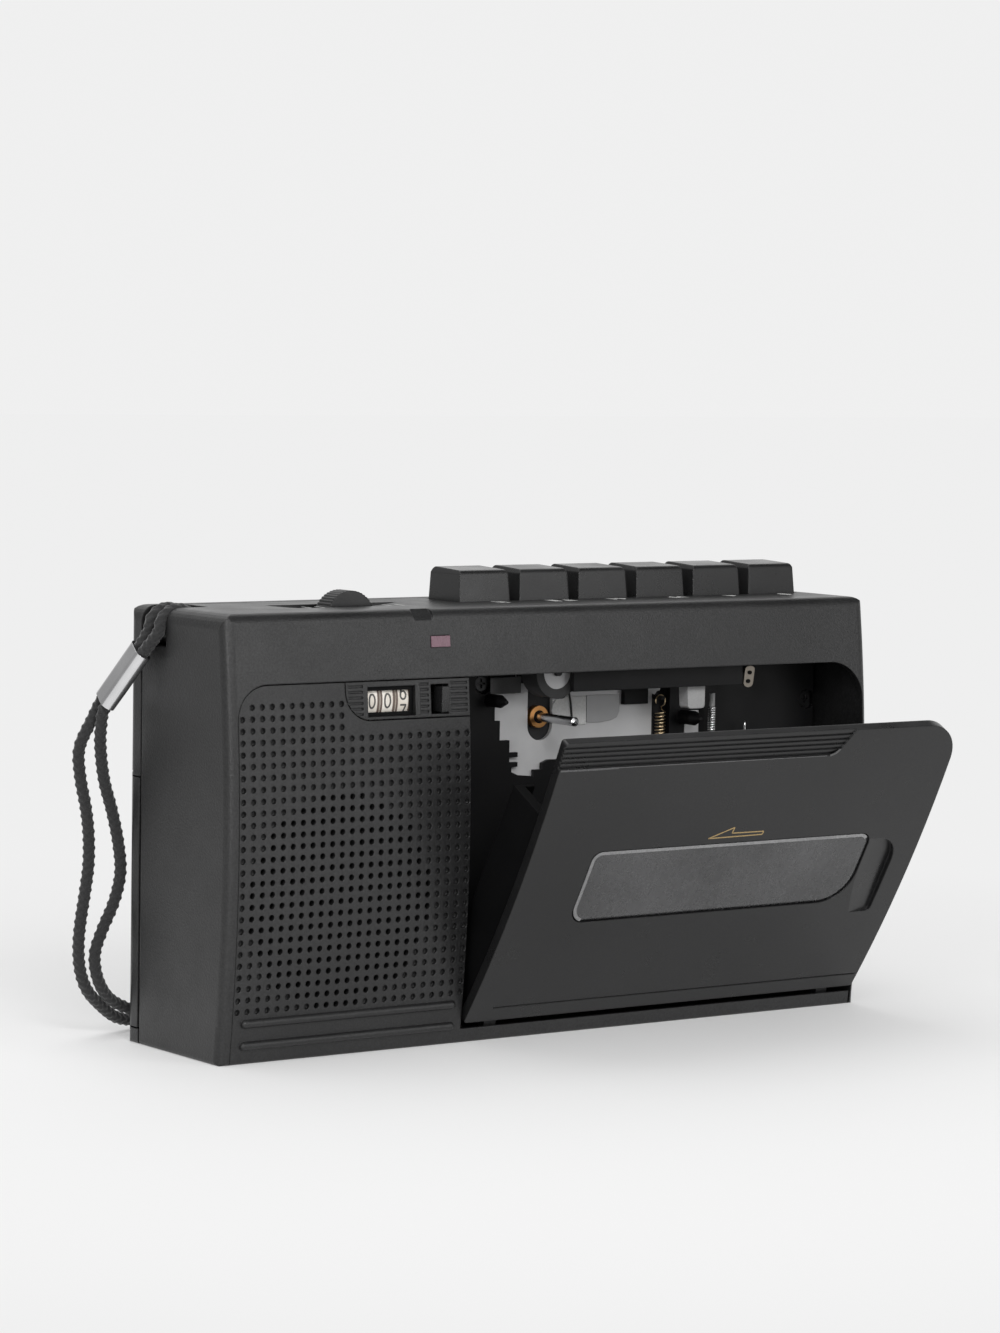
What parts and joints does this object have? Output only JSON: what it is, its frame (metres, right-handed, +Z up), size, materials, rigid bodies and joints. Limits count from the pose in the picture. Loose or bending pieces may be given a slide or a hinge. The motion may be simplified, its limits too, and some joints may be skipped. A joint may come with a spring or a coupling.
{
  "type": "portable cassette recorder",
  "caption": "Portable cassette recorder with an open hinged cassette door, speaker grille, piano keys, tape counter and wrist strap",
  "frame": {"origin": "centre of the cabinet's base, on the surface that it stands on", "axes": "+X to the right along the width, +Y to the back, +Z up"},
  "size_m": [0.1797, 0.0881, 0.099],
  "materials": {
    "cabinet": "fine textured charcoal",
    "panel": "fine textured charcoal",
    "door": "satin charcoal",
    "keys": "satin black",
    "inner_black": "matt black",
    "window": "smoked clear",
    "lamp": "tinted translucent",
    "steel": "plated sheet",
    "bright": "bright plated",
    "bronze": "sintered bronze",
    "brass": "turned",
    "rubber": "black",
    "drum": "off-white",
    "black_screw": "blackened",
    "board": "green laminate",
    "component": "dark sleeves",
    "paper": "black paper",
    "cast": "turned",
    "cord": "braided black"
  },
  "bodies": {
    "cabinet": {"front_cabinet": "cabinet", "rear_cabinet": "cabinet", "grille_panel": "panel", "counter_bezel": "panel", "led_lens": "lamp", "microphone": "steel", "speaker_frame": "steel", "speaker_cone": "paper", "chassis_plate": "steel", "deck_cover": "inner_black", "head_guard": "inner_black", "capstan_bushing": "bronze", "drive_bracket": "steel", "motor": "steel", "drive_belt": "rubber", "circuit_board": "board", "board_components": "component", "jack_sockets": "inner_black", "battery_contacts": "steel", "volume_pot": "steel", "counter_frame": "inner_black", "key_guide": "inner_black", "hinge_pins": "steel", "strap_bar": "cabinet", "strap_ferrule": "bright", "wrist_strap": "cord", "cabinet_screws": "steel", "chassis_screws": "black_screw", "play_spring": "brass", "key_springs": "steel"},
    "door": {"cassette_door": "door", "door_window": "window", "cassette_holder": "inner_black"},
    "battery_lid": {"battery_door": "cabinet"},
    "head_slide": {"head_plate": "steel", "head_block": "inner_black", "record_head": "bright", "erase_head": "steel", "pinch_arm": "steel"},
    "pinch": {"pinch_roller": "rubber", "pinch_hub": "steel"},
    "capstan": {"capstan_shaft": "bright", "flywheel": "cast"},
    "pulley": {"motor_pulley": "brass"},
    "takeup": {"takeup_reel": "inner_black", "takeup_wheel": "rubber"},
    "supply": {"supply_reel": "inner_black"},
    "idler": {"idler_wheel": "rubber"},
    "drum_units": {"counter_units": "drum"},
    "drum_tens": {"counter_tens": "drum"},
    "drum_hundreds": {"counter_hundreds": "drum"},
    "reset": {"reset_button": "keys"},
    "volume": {"volume_wheel": "keys"},
    "pause_key": {"key_pause": "keys"},
    "stop_key": {"key_stop": "keys"},
    "forward_key": {"key_forward": "keys"},
    "rewind_key": {"key_rewind": "keys"},
    "play_key": {"key_play": "keys"},
    "record_key": {"key_record": "keys"}
  },
  "joints": [
    {"name": "door_hinge", "type": "hinge", "parent": "cabinet", "child": "door", "pos_m": [0, -0.0164, 0.0054], "axis": [1, 0, 0], "range_deg": [-29, 0]},
    {"name": "battery_lid_slide", "type": "slide", "parent": "cabinet", "child": "battery_lid", "axis": [-1, 0, 0], "range_m": [0, 0.06]},
    {"name": "pause_key_press", "type": "slide", "parent": "cabinet", "child": "pause_key", "axis": [0, 0, -1], "range_m": [0, 0.004], "stiffness_N_per_m": 300, "springref_m": -0.001, "deforming": ["key_springs"]},
    {"name": "stop_key_press", "type": "slide", "parent": "cabinet", "child": "stop_key", "axis": [0, 0, -1], "range_m": [0, 0.004], "stiffness_N_per_m": 300, "springref_m": -0.001, "deforming": ["key_springs"]},
    {"name": "forward_key_press", "type": "slide", "parent": "cabinet", "child": "forward_key", "axis": [0, 0, -1], "range_m": [0, 0.004], "stiffness_N_per_m": 300, "springref_m": -0.001, "deforming": ["key_springs"]},
    {"name": "rewind_key_press", "type": "slide", "parent": "cabinet", "child": "rewind_key", "axis": [0, 0, -1], "range_m": [0, 0.004], "stiffness_N_per_m": 300, "springref_m": -0.001, "deforming": ["key_springs"]},
    {"name": "play_key_press", "type": "slide", "parent": "cabinet", "child": "play_key", "axis": [0, 0, -1], "range_m": [0, 0.004], "stiffness_N_per_m": 300, "springref_m": -0.001, "deforming": ["key_springs"]},
    {"name": "record_key_press", "type": "slide", "parent": "cabinet", "child": "record_key", "axis": [0, 0, -1], "range_m": [0, 0.004], "stiffness_N_per_m": 300, "springref_m": -0.001, "deforming": ["key_springs"]},
    {"name": "head_slide_move", "type": "slide", "parent": "cabinet", "child": "head_slide", "axis": [0, 0, -1], "range_m": [0, 0.004], "stiffness_N_per_m": 300, "springref_m": -0.001, "deforming": ["play_spring"]},
    {"name": "pinch_spin", "type": "hinge", "parent": "head_slide", "child": "pinch", "pos_m": [0.00195, -0.0126, 0.0773], "axis": [0, 1, 0], "continuous": true},
    {"name": "capstan_spin", "type": "hinge", "parent": "cabinet", "child": "capstan", "pos_m": [0.00495, 0, 0.0668], "axis": [0, 1, 0], "continuous": true},
    {"name": "pulley_spin", "type": "hinge", "parent": "cabinet", "child": "pulley", "pos_m": [0.0617, 0.002, 0.02], "axis": [0, 1, 0], "continuous": true},
    {"name": "idler_spin", "type": "hinge", "parent": "cabinet", "child": "idler", "pos_m": [0.0066, -0.0005, 0.05532], "axis": [0, 1, 0], "continuous": true},
    {"name": "takeup_spin", "type": "hinge", "parent": "cabinet", "child": "takeup", "pos_m": [0.0092, -0.004, 0.0372], "axis": [0, 1, 0], "continuous": true},
    {"name": "supply_spin", "type": "hinge", "parent": "cabinet", "child": "supply", "pos_m": [0.0517, -0.004, 0.0372], "axis": [0, 1, 0], "continuous": true},
    {"name": "units_spin", "type": "hinge", "parent": "cabinet", "child": "drum_units", "pos_m": [-0.044, -0.01255, 0.07322], "axis": [1, 0, 0], "continuous": true},
    {"name": "tens_spin", "type": "hinge", "parent": "cabinet", "child": "drum_tens", "pos_m": [-0.044, -0.01255, 0.07322], "axis": [1, 0, 0], "continuous": true},
    {"name": "hundreds_spin", "type": "hinge", "parent": "cabinet", "child": "drum_hundreds", "pos_m": [-0.044, -0.01255, 0.07322], "axis": [1, 0, 0], "continuous": true},
    {"name": "reset_press", "type": "slide", "parent": "cabinet", "child": "reset", "axis": [0, 1, 0], "range_m": [0, 0.0012], "stiffness_N_per_m": 300, "springref_m": -0.0005},
    {"name": "volume_turn", "type": "hinge", "parent": "cabinet", "child": "volume", "pos_m": [-0.044, -0.002, 0.0891], "axis": [0, 1, 0], "range_deg": [-135, 135]}
  ],
  "couplings": [
    {"joint": "play_key_press", "follows": "head_slide_move", "ratio": 1},
    {"joint": "pulley_spin", "follows": "capstan_spin", "ratio": 3.125},
    {"joint": "idler_spin", "follows": "capstan_spin", "ratio": -0.36145},
    {"joint": "takeup_spin", "follows": "capstan_spin", "ratio": 0.30917},
    {"joint": "units_spin", "follows": "capstan_spin", "ratio": 0.05},
    {"joint": "tens_spin", "follows": "capstan_spin", "ratio": 0.005},
    {"joint": "hundreds_spin", "follows": "capstan_spin", "ratio": 0.0005}
  ]
}
